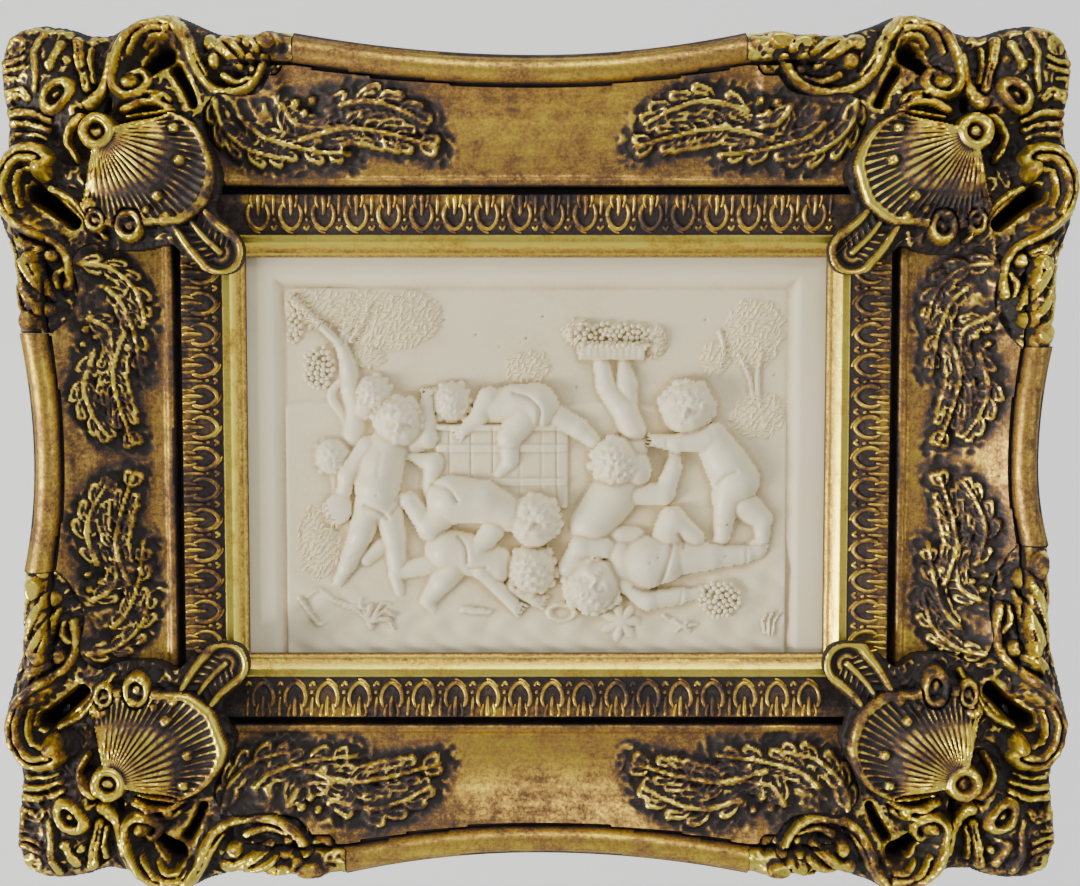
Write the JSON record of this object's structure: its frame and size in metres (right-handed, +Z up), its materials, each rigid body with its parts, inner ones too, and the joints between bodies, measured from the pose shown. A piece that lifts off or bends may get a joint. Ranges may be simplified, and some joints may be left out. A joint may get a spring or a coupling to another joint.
{
  "type": "framed relief plaque",
  "caption": "Off-white cast relief of a harvest scene in an aged gilt swept frame with pierced shell corners, made to hang on a wall.",
  "frame": {"origin": "on the flat back of the top rail, at the middle of its length and width, where the frame hangs on the wall", "axes": "+X across the frame to the right as seen from the front, +Z up, +Y out of the back towards the wall; the front faces -Y"},
  "size_m": [0.3036, 0.0321, 0.2483],
  "materials": {
    "cast_stone": "satin, off-white cast with a faint warm tint and small dark pinholes",
    "gilt_wood": "aged gold leaf over dark brown ground, rubbed on the rim",
    "gilt_casting": "composition carving, dark brown in the hollows and bright gold on the ridges",
    "gilt_slip": "aged gold leaf, bright on the sight edge and darkened in the leaf strip"
  },
  "bodies": {
    "root": {"relief_plaque": "cast_stone", "top_rail": "gilt_wood", "bottom_rail": "gilt_wood", "left_rail": "gilt_wood", "right_rail": "gilt_wood", "corner_top_left": "gilt_casting", "corner_top_right": "gilt_casting", "corner_bottom_left": "gilt_casting", "corner_bottom_right": "gilt_casting", "slip_top": "gilt_slip", "slip_bottom": "gilt_slip", "slip_left": "gilt_slip", "slip_right": "gilt_slip"}
  },
  "joints": []
}
